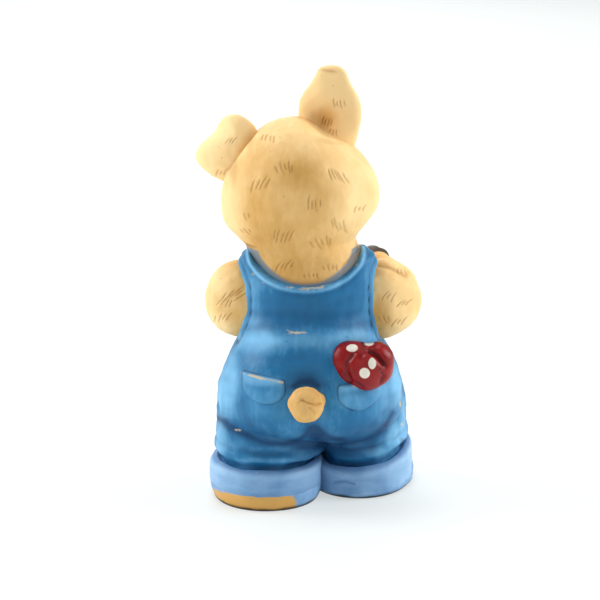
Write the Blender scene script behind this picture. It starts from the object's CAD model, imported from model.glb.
"""A painted clay pig in bib overalls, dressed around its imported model.

Shapes are worked out in millimetres in the modeller's own frame: the pig faces -Y, its own left
is +X, and the middle of the overalls is X = 0. to_row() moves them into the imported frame, in metres.
"""
import functools
import math

import bpy
import numpy as np
from mathutils import Matrix, Vector


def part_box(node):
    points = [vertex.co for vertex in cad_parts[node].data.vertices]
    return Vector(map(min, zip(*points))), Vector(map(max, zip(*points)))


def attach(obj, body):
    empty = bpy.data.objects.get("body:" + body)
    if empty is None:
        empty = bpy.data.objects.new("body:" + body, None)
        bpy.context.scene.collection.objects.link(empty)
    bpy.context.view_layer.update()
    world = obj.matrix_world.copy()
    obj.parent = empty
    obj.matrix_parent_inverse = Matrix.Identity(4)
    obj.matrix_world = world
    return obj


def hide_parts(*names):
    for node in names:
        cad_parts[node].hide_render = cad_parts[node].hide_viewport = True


bl_info = {
    "name": "Painted clay pig",
    "version": (1, 0, 0),
    "blender": (4, 5, 0),
    "location": "3D View > Sidebar > Clay pig",
    "description": "Builds a hand-painted clay pig in bib overalls around its packed model",
    "category": "Object",
}

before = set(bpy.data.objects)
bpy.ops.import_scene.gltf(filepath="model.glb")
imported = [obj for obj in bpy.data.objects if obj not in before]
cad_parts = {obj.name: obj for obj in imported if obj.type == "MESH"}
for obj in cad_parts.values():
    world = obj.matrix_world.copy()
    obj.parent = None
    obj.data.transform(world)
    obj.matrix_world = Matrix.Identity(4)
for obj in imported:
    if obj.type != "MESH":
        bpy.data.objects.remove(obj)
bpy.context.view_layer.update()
MM = 0.001

# Shares of the named sizes, row by row from the bottom up: height, half width, depth behind and
# in front, and for the head its drift towards +X.
TRUNK_SHARES = (
    (0.244, 0.62, 0.44, 0.46),
    (0.290, 0.86, 0.76, 0.76),
    (0.355, 0.97, 0.95, 0.94),
    (0.430, 0.97, 1.00, 0.99),
    (0.510, 0.91, 0.975, 1.00),
    (0.570, 0.835, 0.92, 0.98),
    (0.620, 0.75, 0.85, 0.945),
    (0.680, 0.71, 0.77, 0.90),
    (0.740, 0.70, 0.70, 0.82),
    (0.820, 0.705, 0.655, 0.74),
    (0.895, 0.71, 0.62, 0.65),
    (0.955, 0.705, 0.57, 0.50),
    (0.986, 0.66, 0.51, 0.34),
    (1.000, 0.57, 0.44, 0.22),
)
HEAD_SHARES = (
    (-0.30, 0.00, 0.00, 0.00, -0.06),
    (-0.30, 0.26, 0.97, 0.60, -0.06),
    (-0.215, 0.57, 0.95, 0.60, -0.06),
    (-0.17, 0.67, 0.93, 0.60, -0.055),
    (-0.10, 0.715, 0.88, 0.60, -0.04),
    (0.00, 0.705, 0.80, 0.62, -0.01),
    (0.05, 0.70, 0.80, 0.67, 0.01),
    (0.10, 0.75, 0.82, 0.74, 0.055),
    (0.20, 0.895, 0.89, 0.90, 0.065),
    (0.30, 0.98, 0.955, 0.98, 0.03),
    (0.40, 1.00, 0.99, 1.00, 0.01),
    (0.50, 0.975, 1.00, 0.96, 0.0),
    (0.62, 0.88, 0.98, 0.88, 0.0),
    (0.74, 0.75, 0.91, 0.77, 0.0),
    (0.86, 0.59, 0.745, 0.62, 0.0),
    (0.945, 0.40, 0.51, 0.42, 0.0),
    (0.985, 0.212, 0.27, 0.22, 0.0),
    (0.997, 0.10, 0.12, 0.10, 0.0),
    (1.000, 0.00, 0.00, 0.00, 0.0),
)
# Shares along the muzzle: reach, radius.
MUZZLE_SHARES = ((0.0, 1.30), (0.40, 1.12), (0.62, 1.06), (0.80, 0.92), (0.93, 0.76), (1.0, 0.62), (1.0, 0.0))
# Shares along each ear. Right: length, half width, thickness. Left: outward, forward, down along
# the fold, half width, thickness, and the fold's lean from upright in degrees.
RIGHT_EAR_SHARES = (
    (0.00, 0.66, 1.10), (0.18, 0.84, 1.15), (0.34, 0.94, 1.10), (0.47, 0.97, 1.02), (0.58, 0.94, 0.94),
    (0.69, 0.84, 0.84), (0.80, 0.63, 0.72), (0.88, 0.50, 0.62), (0.94, 0.41, 0.54), (0.975, 0.28, 0.42),
    (0.993, 0.15, 0.24), (1.00, 0.00, 0.00),
)
LEFT_EAR_SHARES = (
    (-0.48, 0.00, 0.00, 0.60, 0.80, 26), (0.00, 0.00, 0.00, 1.02, 1.00, 26),
    (0.35, 0.00, 0.00, 1.06, 1.00, 28), (0.67, 0.05, 0.05, 1.02, 0.97, 31),
    (0.90, 0.20, 0.17, 0.92, 0.92, 34), (1.00, 0.40, 0.34, 0.80, 0.88, 36),
    (0.95, 0.62, 0.48, 0.68, 0.82, 37), (0.84, 0.79, 0.68, 0.54, 0.74, 38),
    (0.72, 0.91, 0.86, 0.36, 0.62, 38), (0.62, 0.97, 0.97, 0.17, 0.42, 38),
    (0.59, 1.00, 1.02, 0.00, 0.00, 38),
)

# The photograph's camera, in millimetres, and its width in pixels.
PHOTO_AIM = np.array([2.0, 0.0, 40.0])
PHOTO_DISTANCE = 450.0
PHOTO_ELEVATION = math.radians(15)
PHOTO_LENS, PHOTO_SENSOR, PHOTO_WIDTH = 135.0, 36.0, 600
PHOTO_BACK = np.array([0.0, math.cos(PHOTO_ELEVATION), math.sin(PHOTO_ELEVATION)])
PHOTO_UP = np.array([0.0, -math.sin(PHOTO_ELEVATION), math.cos(PHOTO_ELEVATION)])
PHOTO_PIXEL = 0.2

# Tool marks and paint marks as seen from behind, in the photograph's pixels. A hatch is its
# middle, how many strokes, their length, spacing and lean in degrees from upright.
HEAD_HATCHES = (
    (285, 168, 5, 11, 4.0, -12), (337, 176, 5, 13, 4.0, -22), (260, 185, 4, 13, 5.0, 14),
    (314, 203, 4, 12, 4.0, -8), (338, 225, 4, 12, 4.5, -10), (282, 236, 5, 13, 4.2, 12),
    (322, 243, 5, 11, 4.6, -24), (268, 138, 4, 7, 4.2, 18), (360, 209, 3, 6, 4.0, 16),
    (247, 216, 2, 7, 4.0, -30), (246, 231, 3, 6, 4.0, -35), (285, 266, 4, 9, 4.6, 22),
    (311, 276, 4, 5, 4.5, -10), (352, 262, 3, 8, 5.0, 12), (330, 268, 4, 6, 4.4, -14),
)
RIGHT_EAR_HATCHES = ((339, 103, 4, 8, 3.6, -18), (326, 122, 4, 9, 3.4, 10), (333, 132, 3, 7, 3.6, 14))
LEFT_EAR_HATCHES = ((229, 141, 3, 6, 4.0, 26), (221, 172, 3, 6, 4.0, 20))
LEFT_ARM_HATCHES = ((234, 294, 6, 11, 3.6, 48), (225, 302, 4, 9, 3.6, 34), (222, 318, 4, 8, 4.2, 22))
RIGHT_ARM_HATCHES = (
    (388, 297, 3, 8, 4.4, 24), (406, 271, 5, 6, 4.2, -26), (398, 322, 3, 7, 4.6, 30),
    (384, 318, 3, 7, 4.6, -16), (404, 303, 3, 6, 4.0, 40),
)
# Strokes of paint: their course, half width in pixels, strength.
SEAT_STROKES = (
    (((218, 418), (228, 424), (242, 433), (262, 442), (285, 444), (300, 440), (313, 432)), 3.0, 0.8),
    (((222, 421), (242, 434), (262, 441), (285, 443), (300, 440), (313, 433)), 8.0, 0.4),
    (((319, 432), (335, 439), (352, 441), (370, 437), (384, 428), (392, 412)), 3.0, 0.8),
    (((324, 436), (338, 440), (352, 442), (370, 438), (384, 430)), 8.0, 0.42),
    (((314, 431), (321, 445), (325, 462)), 8.0, 0.95),
    (((318, 440), (330, 448), (352, 450), (372, 447)), 7.0, 0.55),
    (((328, 462), (350, 464), (372, 460)), 5.0, 0.35),
    (((242, 405), (246, 416), (258, 428), (276, 434)), 6.0, 0.3),
    (((392, 396), (386, 412), (372, 424), (350, 430)), 6.0, 0.22),
    (((294, 386), (300, 382.5), (309, 381.5), (318, 386)), 3.4, 0.85),
    (((288, 384), (305, 378), (322, 384)), 7.0, 0.35), (((225, 421), (229, 428)), 3.4, 0.6),
    (((234, 430), (246, 435)), 3.4, 0.5), (((404, 383), (406, 393)), 2.4, 0.75),
    (((401, 440), (402, 447)), 2.0, 0.6),
    (((238, 331), (262, 326), (300, 327), (345, 325), (372, 322)), 4.0, 0.25),
    (((250, 464), (285, 467), (312, 458)), 3.0, 0.35), (((240, 452), (262, 457), (290, 455)), 3.0, 0.2),
)
# Blots of paint, and of rubbed clay: middle, half width, half height, strength.
SEAT_TONE_BLOTS = (
    (357, 428, 22, 12, -0.25), (264, 340, 14, 8, 0.35), (262, 384, 16, 8, -0.2),
    (300, 341, 46, 6, 0.3), (256, 342, 22, 11, 0.42), (352, 336, 22, 6, 0.4), (262, 381, 17, 5, 0.35),
    (398, 375, 7, 26, 0.7), (228, 380, 10, 34, 0.75), (218, 412, 5, 26, 0.5), (388, 392, 12, 20, 0.35),
    (352, 402, 16, 6, 0.2), (236, 318, 4, 26, 0.4), (250, 305, 9, 26, 0.3),
    (302, 305, 46, 16, -0.35), (355, 295, 12, 26, -0.2), (300, 365, 34, 12, -0.3), (262, 424, 24, 9, -0.15),
)
LEG_TONE_BLOTS = (
    (350, 460, 28, 9, -0.5), (255, 456, 22, 8, -0.2),
    (219, 436, 8, 20, 0.8), (272, 450, 22, 3.5, 0.25), (268, 460, 26, 2.5, 0.35), (396, 436, 10, 14, 0.75),
    (378, 452, 14, 5, 0.3), (404, 412, 5, 18, 0.5),
)
WORN_MARKS = (
    (297, 333, 13, 1.5, 0.62), (288, 330, 5, 1.1, 0.4), (401, 404, 2.2, 3.2, 0.8), (405, 380, 1.8, 7, 0.45),
    (399, 418, 4, 2.0, 0.5), (253, 274, 2.6, 2.2, 0.5), (262, 283, 3, 1.4, 0.4), (378, 268, 1.2, 8, 0.35),
)
# The kerchief's dots: middle, half width, half height.
KERCHIEF_DOTS = (
    (352, 348, 5.6, 3.6), (369, 343, 4.6, 2.4), (372, 363.5, 3.6, 5.4), (364.5, 373, 5.0, 5.0),
)
# The tail's creases: their course in pixels, width and depth in millimetres.
TAIL_CREASES = (
    (((321, 404), (315, 405), (308, 403), (302, 400)), 0.3, 0.32),
    (((309, 408), (313, 411), (314, 414)), 0.3, 0.2),
    (((298, 392), (305, 389.5), (313, 391), (318, 396)), 0.3, 0.1), (((303, 399), (299, 403)), 0.3, 0.14),
)
# The beige patch on the heel: its right end, that end's rounding, and its upper edge, in pixels.
HEEL_PATCH = (296, 8, ((190, 484), (208, 487), (222, 492), (240, 495), (292, 495)))

# Tool marks that the photograph doesn't show. On the head: angle round it, height below its foot,
# lean. On an arm: how far forward, height, lean.
HEAD_SIDE_HATCHES = (
    (-2.2, -20, 10), (-1.9, -13, -14), (-1.45, -17, 8), (-1.15, -8, -10), (1.25, -9, 12), (1.5, -17, -8),
    (1.95, -11, 14), (2.3, -19, -12), (-0.55, -22, 10), (0.35, -22.5, -12), (0.0, -19.5, 6), (-1.6, -5, 10),
    (1.75, -5.5, -10),
)
ARM_SIDE_HATCHES = ((-6, 42, 12), (-1, 36, -12), (-9, 36, 8), (-4, 46, -10), (-12, 40, 14))
# Shade beside the ears, and rubbed places on the trouser legs, as blots.
EAR_SHADES = ((332, 139, 15, 4, 0.2), (250, 135, 4, 14, 0.3), (233, 165, 4, 18, 0.35))
LEG_WORN_MARKS = ((402, 424, 3, 3, 0.5), (238, 430, 4, 2, 0.6), (297, 470, 8, 1.2, 0.7))
# The crease under the raised forearm and the scratch on the right turn-up: their courses.
ARM_CREASE = ((378, 264), (392, 268), (406, 275))
CUFF_SCRATCH = ((335, 482), (345, 481), (354, 484))

# Bells that shape the overalls: height, then a middle and a spread for each value, in millimetres.
# The seat's two sides, the groove between them, the seat of the tail and the hips, over x and z.
SEAT_BELLS = (
    (0.75, 8.6, 5.5, 20.5, 5.0), (0.75, -8.6, 5.5, 20.5, 5.0), (-0.9, -0.6, 2.4, 16.5, 4.0),
    (-0.5, 0.2, 3.0, 28.2, 2.0), (0.4, -16.5, 3.5, 18.5, 4.0), (0.4, 16.5, 3.5, 18.5, 4.0),
)
# The belly, the waist over it and the fork of the legs. A spread without end makes a bell level.
BELLY_BELLS = (
    (0.35, 0, math.inf, 30, 5), (-0.35, 0, math.inf, 38.5, 1.6), (-0.8, 0, 2.0, 14.5, 3.0),
)
# The hems' rolls and grooves, over the distance inside the neckline and the armholes.
NECKLINE_HEM = ((0.32, 0.7, 0.5), (-0.15, 1.7, 0.5))
ARMHOLE_HEM = ((0.26, 0.8, 0.6), (-0.24, 2.0, 0.5))

# The snout's profile: share of its radius, depth behind its front. A toe's rings, as shares of its
# height, half width, and half length behind and in front.
SNOUT_PROFILE = (
    (0, 0), (0.5, 0), (0.8, 0.06), (0.92, 0.22), (0.99, 0.6), (1.02, 1.3), (0.98, 2.4), (0.9, 4.2), (0, 4.6),
)
TOE_SHARES = (
    (0, 0, 0, 0, 0), (0, 0.90, 0.93, 0.90, 0), (0.06, 0.95, 0.97, 0.95, 0), (0.3, 1, 1, 1, 0),
    (0.7, 0.8, 0.9, 0.62, 0), (0.93, 0.42, 0.7, 0.14, 0), (1.0, 0, 0, 0, 0),
)
# Where the ears stand on the head, and the standing ear's lean in degrees.
RIGHT_EAR_ROOT, LEFT_EAR_ROOT, RIGHT_EAR_LEAN = (-4.8, -3.5, 17.2), (11.5, 3.0, 19.6), 4.5
# Pockets: the mouth's middle (x, z), side of the trunk, half width, depth, how much the mouth
# slopes, how strongly it is rubbed.
POCKETS = {
    "left_pocket": ((9.1, 28.5), 1, 4.35, 5.5, 0.04, 1),
    "right_pocket": ((-9.6, 27.3), 1, 4.5, 5.4, 0, 0.45),
    "bib_pocket": ((0.0, 41.6), -1, 3.4, 4.9, 0, 1),
}
# A strap end's half width, its foot on the bib (x, z), its top's x and how far below the shoulder
# it stops, and its button's place.
STRAP_HALF, STRAP_FOOT, STRAP_TOP_X, STRAP_STOP, BUTTON_SPOT = 1.5, (6.3, 41.0), 10.7, 1.5, (6.4, 42.2)
# Arms: shoulder, elbow, wrist, tool marks.
ARMS = {
    "left": ((12.9, -2.4, 39.6), (15.2, -6.4, 37.6), (9.4, -15.2, 37.2), LEFT_ARM_HATCHES),
    "right": ((-14.1, -2.4, 39.5), (-16.4, -6.6, 40.4), (-13.4, -14.0, 44.0), RIGHT_ARM_HATCHES),
}
# Legs: place, half width, half length, turn in degrees, height of the sole, and how many degrees
# the turn-up's top leans towards the heel.
LEGS = {
    "left": ((8.8, 2.2), 9.7, 10.3, 5.0, 3.2, 0.0),
    "right": ((-10.6, -4.8), 8.6, 9.9, -20.0, 1.2, 11.0),
}
# The middles of the tail and the kerchief on the seat: x, z.
TAIL_SPOT, KERCHIEF_SPOT = (0.75, 24.1), (-9.9, 30.3)
# Lobes of the kerchief: x, z, how far out, and three half sizes, as shares of its own.
KERCHIEF_LOBES = (
    (-0.03, -0.05, 0.28, 0.70, 0.62, 0.84), (0.58, 0.02, 0.08, 0.45, 0.48, 0.80),
    (-0.60, 0.33, 0.16, 0.43, 0.55, 0.62), (-0.20, -0.60, 0.18, 0.48, 0.46, 0.42),
    (-0.70, -0.26, 0.08, 0.30, 0.44, 0.46), (0.24, 0.56, 0.14, 0.46, 0.46, 0.42),
)
# Its folds and its raised pleat: course in pixels, width and depth in millimetres.
KERCHIEF_FOLDS = (
    (((370, 351), (377, 355), (385, 365)), 0.55, 0.75),
    (((350, 383), (347, 372), (347, 362), (353, 354)), 0.5, 0.4),
    (((344, 374), (352, 382), (362, 387)), 0.4, 0.25), (((362, 343), (364, 350), (361, 357)), 0.5, 0.25),
    (((379, 369), (384, 376), (381, 383)), 0.4, 0.3),
)
KERCHIEF_PLEAT = ((367, 356), (374, 361), (380, 369))
# Dots that the photograph doesn't show: x, z, and their radius.
SIDE_DOTS, SIDE_DOT_RADIUS = ((-15.3, 30.5), (-13.6, 34.2), (-8.4, 34.9)), 0.9
# Each grid's steps around and along.
GRIDS = {
    "head": (420, 235), "snout": (160, 90), "eye": (64, 40), "ear": (220, 170), "body": (260, 130),
    "overalls": (470, 205), "pocket": (300, 261), "strap": (240, 181), "button": (72, 60), "arm": (300, 230),
    "hand_hoof": (120, 110), "leg": (320, 150), "cuff": (340, 110), "foot": (340, 110), "toe": (90, 70),
    "tail": (240, 200), "kerchief": (300, 240),
}
# How blunt the level ovals are, as the power of their sine and cosine, and how often each search
# halves its span.
OVAL_POWER, STAR_HALVINGS, PATCH_HALVINGS = 0.97, 18, 20
# How far a patch runs on past its outline, in millimetres.
PATCH_MARGIN = 0.3
# The radius at which an angle round the head counts as a distance, and the tool marks at the sides
# of the head and the arms: how many strokes, their length and spacing.
HEAD_GIRTH, HEAD_HATCH, ARM_HATCH = 12, (4, 2.2, 0.85), (4, 2.0, 0.8)
# Paintwork: base, light, wash, second paint and ink, and what differs from the usual.
PAINTWORK = {
    "brushed_flesh": (("flesh", "flesh_light", "flesh_wash", "blush", "collar"), {"rough": 0.62}),
    "brushed_torso": (("flesh", "flesh_light", "flesh_wash", "collar", "navy"), {"rough": 0.6}),
    "brushed_snout": (("blush", "flesh_light", "flesh_wash", "blush", "flesh_wash"), {"rough": 0.6}),
    "brushed_denim": (("denim", "denim_light", "denim_wash", "flesh", "navy"), {"coat": 0.08, "drift": 0.22}),
    "brushed_turn_up": (
        ("cuff", "cuff_light", "cuff_wash", "flesh", "navy"),
        {"coat": 0.08, "drift": 0.2, "streak": (0.3, 0.3, 1)}),
    "brushed_foot": (("cuff", "cuff_light", "cuff_wash", "flesh", "black"), {"rough": 0.55}),
    "brushed_hoof": (("hoof", "hoof_light", "black", "white", "black"), {"rough": 0.42, "coat": 0.2}),
    "brushed_red": (
        ("red", "red_light", "red_wash", "white", "red_wash"),
        {"rough": 0.36, "coat": 0.2, "streak": (0.5, 1, 1)}),
    "brushed_brass": (("brass", "worn", "flesh_wash", "white", "flesh_wash"), {"rough": 0.38, "coat": 0.3}),
    "glossy_eye": (("black", "black", "black", "white", "black"), {"rough": 0.18, "coat": 0.8}),
}
# Where the muzzle ends, it counts as this far behind the face, in millimetres.
FAR_BEHIND = 40
# Cells in a metre of the paint's noises: clouds of colour, brush hairs, grit and specks.
CLOUD_CELLS, HAIR_CELLS, GRIT_CELLS, SPECK_CELLS = 150, 900, 3200, 1500
# Lamps: place from the aim in metres, size in metres, power in watts.
LAMPS = {
    "left_lamp": ((0.58, -0.06, 0.30), 0.42, 3.2), "right_lamp": ((-0.58, -0.03, 0.27), 0.42, 3.0),
    "top_lamp": ((0.0, -0.12, 0.62), 0.50, 1.6), "fill_lamp": ((0.05, 0.75, 0.30), 0.60, 0.9),
    "face_lamp": ((0.1, -0.7, 0.35), 0.60, 2.4),
}
# The world as the camera sees it and as it lights the object, and that light's strength.
SHOWN_WORLD, EVEN_WORLD, EVEN_STRENGTH = (0.94, 0.965, 0.945, 1), (0.93, 0.97, 1.0, 1), 0.30
TABLE_HALF, TABLE_GLOW = 3.0, 0.55


def length(label, words, millimetres):
    """A length that the sidebar shows in Blender's units."""
    return bpy.props.FloatProperty(name=label, description=words, default=millimetres * MM, unit="LENGTH")


def degrees(label, words, value):
    """An angle, kept in radians."""
    return bpy.props.FloatProperty(
        name=label, description=words, default=math.radians(value), unit="ROTATION")


def linear(value):
    """One channel of a colour as screens write it, 0 to 255, as plain light."""
    share = value / 255
    return share / 12.92 if share <= 0.04045 else ((share + 0.055) / 1.055) ** 2.4


def paint(label, words, red, green, blue):
    """A paint colour, written as screens write it."""
    default = tuple(linear(value) for value in (red, green, blue))
    return bpy.props.FloatVectorProperty(
        name=label, description=words, default=default, subtype="COLOR", size=3, min=0, max=1)


class PIG_PG_sizes(bpy.types.PropertyGroup):
    """The pig's sizes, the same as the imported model's."""
    trunk_height: length("Trunk height", "From the floor to the top of the straps", 51.6)
    seat_half_width: length("Seat half width", "Half the overalls' widest breadth", 19.2)
    seat_back_depth: length("Seat depth", "From the middle to the back of the seat", 17.3)
    belly_depth: length("Belly depth", "From the middle to the front of the belly", 17.4)
    neckline_x: length("Neckline offset", "How far the scoop's middle is off the middle", 0.96)
    cloth: length("Cloth", "How far the overalls stand out from the skin", 1.1)
    neckline_half_width: length("Neckline half width", "Half the breadth between the straps", 10.7)
    neckline_drop: length("Neckline drop", "How deep the back is scooped", 6.0)
    bib_top: length("Bib top", "Height of the bib's upper edge", 43.4)
    bib_gap: length("Bib gap", "Half the breadth between the strap ends", 4.9)
    armhole_back: length("Armhole back", "How far the armhole reaches behind the middle", 3.3)
    armhole_front: length("Armhole front", "How far it reaches in front of the middle", 10.0)
    armhole_bottom: length("Armhole bottom", "Its lowest height", 33.4)
    armhole_top: length("Armhole top", "Its highest height", 47.2)
    armhole_corner: length("Armhole corner", "Radius of its corners", 3.4)
    head_height: length("Head height", "From the neck's foot to the crown", 26.6)
    cheek_half_width: length("Cheek half width", "Half the breadth across the cheeks", 15.8)
    head_back: length("Head depth behind", "From the middle to the back of the head", 13.3)
    head_front: length("Head depth in front", "From the middle to the face", 14.4)
    neck_x: length("Neck offset", "How far the neck stands towards the pig's left", 1.6)
    neck_y: length("Neck set-back", "How far the neck stands behind the middle", -0.9)
    head_yaw: degrees("Head turn", "Turn of the head about the upright axis", -14.0)
    head_roll: degrees("Head tilt", "Tilt of the crown towards the pig's left", 1.5)
    muzzle_x: length("Muzzle offset", "How far the muzzle is off the middle", 0.25)
    muzzle_width: length("Muzzle half width", "Half the muzzle's breadth", 8.6)
    muzzle_rise: length("Muzzle half height", "Half the muzzle's height", 6.4)
    muzzle_height: length("Muzzle height", "Height of its middle above the neck's foot", 9.2)
    muzzle_reach: length("Muzzle reach", "From the head's middle to the snout", 17.2)
    snout_width: length("Snout half width", "Half the snout's breadth", 5.3)
    snout_rise: length("Snout half height", "Half the snout's height", 4.1)
    snout_thickness: length("Snout thickness", "How far the snout stands out", 2.6)
    eye_radius: length("Eye radius", "Radius of each eye", 1.5)
    eye_spacing: length("Eye spacing", "Distance between the eyes", 10.8)
    eye_height: length("Eye height", "Height above the neck's foot", 15.4)
    ear_half_width: length("Ear half width", "Half an ear's greatest breadth", 6.5)
    ear_thickness: length("Ear thickness", "Thickness of an ear at its root", 4.0)
    right_ear_length: length("Right ear length", "From root to tip", 19.2)
    left_ear_reach: length("Left ear reach", "How far the folded ear stands out", 6.4)
    left_ear_fold: length("Left ear fold", "How far it comes forward", 9.4)
    left_ear_drop: length("Left ear drop", "How far its tip hangs", 6.8)
    shoulder_width: length("Shoulder half width", "Half the upper arm's breadth", 8.0)
    shoulder_depth: length("Shoulder half depth", "Half the upper arm's depth", 6.8)
    shoulder_rise: length("Shoulder half height", "Half the upper arm's height", 7.8)
    elbow_radius: length("Elbow radius", "Radius of the forearm at the elbow", 5.1)
    wrist_radius: length("Wrist radius", "Radius of the forearm at the wrist", 3.5)
    hoof_length: length("Hand hoof length", "Length of the hoof on each hand", 3.4)
    leg_top: length("Leg top", "Height where a leg ends inside the seat", 21.0)
    cuff_top: length("Turn-up top", "Height of a turn-up's upper edge", 8.3)
    cuff_bulge: length("Turn-up bulge", "How far a turn-up stands out from its leg", 1.6)
    cuff_roll: length("Turn-up roll", "Rounding of a turn-up's upper edge", 1.2)
    foot_reach: length("Foot reach", "How far the foot comes out in front", 3.6)
    foot_top: length("Foot top", "Height of the instep", 5.6)
    foot_edge: length("Foot edge", "Rounding under the sole", 1.0)
    toe_width: length("Toe half width", "Half a toe's breadth", 2.6)
    toe_length: length("Toe half length", "Half a toe's length", 3.6)
    toe_height: length("Toe height", "Height of a toe", 4.6)
    tail_thickness: length("Tail thickness", "Thickness of the rolled clay", 3.5)
    tail_curl: length("Tail curl radius", "Radius of the curl's middle line", 2.15)
    kerchief_width: length("Kerchief half width", "Half the bunch's breadth", 5.9)
    kerchief_rise: length("Kerchief half height", "Half the bunch's height", 4.5)
    kerchief_reach: length("Kerchief reach", "How far the bunch stands out", 5.0)
    pocket_thickness: length("Pocket thickness", "How far a pocket patch stands out", 0.45)
    strap_thickness: length("Strap thickness", "How far a strap end stands out", 0.5)
    button_radius: length("Button radius", "Radius of a strap button", 1.3)
    stroke_width: length("Hatch width", "Half the width of a tool mark", 0.12)
    stroke_depth: length("Hatch depth", "Depth of a tool mark", 0.17)


class PIG_PG_paints(bpy.types.PropertyGroup):
    """The paints, as written before any wash or wear."""
    flesh: paint("Flesh", "Skin, ears, tail and feet", 217, 167, 92)
    flesh_light: paint("Flesh light", "Skin where the paint is thin and pale", 252, 216, 156)
    flesh_wash: paint("Flesh wash", "Wash that settles in the skin's grooves", 150, 92, 36)
    blush: paint("Blush", "Cheeks and the ears' insides", 236, 150, 112)
    denim: paint("Denim", "The overalls", 32, 114, 163)
    denim_light: paint("Denim light", "Overalls on high places", 122, 186, 226)
    denim_wash: paint("Denim wash", "Wash that settles in the overalls' folds", 0, 54, 98)
    collar: paint("Inside of the collar", "The groove between neck and collar", 108, 134, 152)
    navy: paint("Navy ink", "Stitches and painted lines", 10, 34, 74)
    worn: paint("Worn edge", "Clay that shows where the paint has rubbed off", 205, 186, 150)
    cuff: paint("Turn-up", "The turn-ups", 102, 147, 193)
    cuff_light: paint("Turn-up light", "The turn-ups on high places", 168, 206, 238)
    cuff_wash: paint("Turn-up wash", "Wash under the turn-ups", 66, 104, 156)
    red: paint("Red", "The kerchief", 138, 0, 3)
    red_light: paint("Red light", "The kerchief on high places", 172, 22, 26)
    red_wash: paint("Red wash", "The kerchief's folds", 52, 2, 6)
    white: paint("White", "Dots and the glint in each eye", 236, 230, 214)
    hoof: paint("Hoof", "Hooves", 62, 50, 40)
    hoof_light: paint("Hoof light", "Hooves on high places", 98, 82, 66)
    black: paint("Black", "Eyes", 14, 13, 14)
    brass: paint("Brass", "Strap buttons", 206, 166, 84)
    floor: paint("Floor", "The table top", 246, 250, 249)


class Pig:
    """The pig's sizes in millimetres."""

    def __getattr__(self, name):
        return getattr(bpy.context.scene.pig_sizes, name) / MM


pig = Pig()


def colour(name):
    """A paint as four channels of plain light."""
    return (*getattr(bpy.context.scene.pig_paints, name), 1.0)


def row_shift():
    """Where the modeller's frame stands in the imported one, from the box of the overalls."""
    low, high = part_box("overalls")
    return np.array([(low[0] + high[0]) / 2, high[1] - pig.seat_back_depth * MM, 0.0])


def to_row(points):
    """Millimetres in the modeller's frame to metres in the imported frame."""
    return points * MM + row_shift()


def photo_pixels(points):
    """Where points fall in the photograph: across and down, by similar triangles from the camera."""
    offset = points - (PHOTO_AIM + PHOTO_DISTANCE * PHOTO_BACK)
    depth = -(offset @ PHOTO_BACK)
    focal = PHOTO_LENS / PHOTO_SENSOR * PHOTO_WIDTH
    middle = PHOTO_WIDTH / 2
    return middle - focal * offset[..., 0] / depth, middle - focal * (offset @ PHOTO_UP) / depth


def smooth_step(low, high, value):
    """0 below low, 1 above high, and between them 3t^2 - 2t^3 of the way."""
    part = np.clip((value - low) / (high - low), 0, 1)
    return part * part * (3 - 2 * part)


def hump(value, middle, spread):
    """A bell: e to the minus square of the distance from the middle in spreads."""
    return np.exp(-((value - middle) / spread) ** 2)


def soft_max(first, second, blend):
    """The larger of two, rounded off where they are within a blend of each other."""
    gap = first - second
    return (first + second + np.sqrt(gap * gap + blend * blend)) / 2


def smooth_rows(rows, count):
    """Rows carried to an even count of steps along their chord, by cubics that never overshoot: a
    row's slope is the harmonic mean of the slopes beside it, and level where those disagree."""
    rows = np.asarray(rows, float)
    chord = np.r_[0, np.cumsum(np.linalg.norm(np.diff(rows, axis=0), axis=1) + 1e-6)]
    beside = np.diff(rows, axis=0) / np.diff(chord)[:, None]
    product = beside[:-1] * beside[1:]
    mean = 2 * product / np.where(product > 0, beside[:-1] + beside[1:], 1)
    slope = np.vstack([beside[:1], np.where(product > 0, mean, 0), beside[-1:]])
    at = np.linspace(0, chord[-1], count)
    low = np.clip(np.searchsorted(chord, at, side="right") - 1, 0, len(rows) - 2)
    span = (chord[low + 1] - chord[low])[:, None]
    t = (at - chord[low])[:, None] / span
    return ((2 * t ** 3 - 3 * t ** 2 + 1) * rows[low] + (t ** 3 - 2 * t ** 2 + t) * span * slope[low]
            + (3 * t ** 2 - 2 * t ** 3) * rows[low + 1] + (t ** 3 - t ** 2) * span * slope[low + 1])


def turns(count):
    """Angles once round, as a column."""
    return np.linspace(0, 2 * math.pi, count, endpoint=False)[:, None]


def level_surface(rows, around, along, place=(0, 0), turn=0.0):
    """Level ovals stacked upward. A ring's x is its half width times the cosine of the angle, and
    its y is the depth behind or in front times the sine, both turned about the upright axis."""
    height, wide, back, front, drift = smooth_rows(rows, along).T
    angle = turns(around)
    cosine = np.sign(np.cos(angle)) * np.abs(np.cos(angle)) ** OVAL_POWER
    sine = np.sign(np.sin(angle)) * np.abs(np.sin(angle)) ** OVAL_POWER
    x = np.abs(wide) * cosine
    y = np.where(sine > 0, np.abs(back), np.abs(front)) * sine
    turn = math.radians(turn)
    points = np.empty((around, along, 3))
    points[..., 0] = place[0] + drift + x * math.cos(turn) - y * math.sin(turn)
    points[..., 1] = place[1] + x * math.sin(turn) + y * math.cos(turn)
    points[..., 2] = height
    return points


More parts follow.
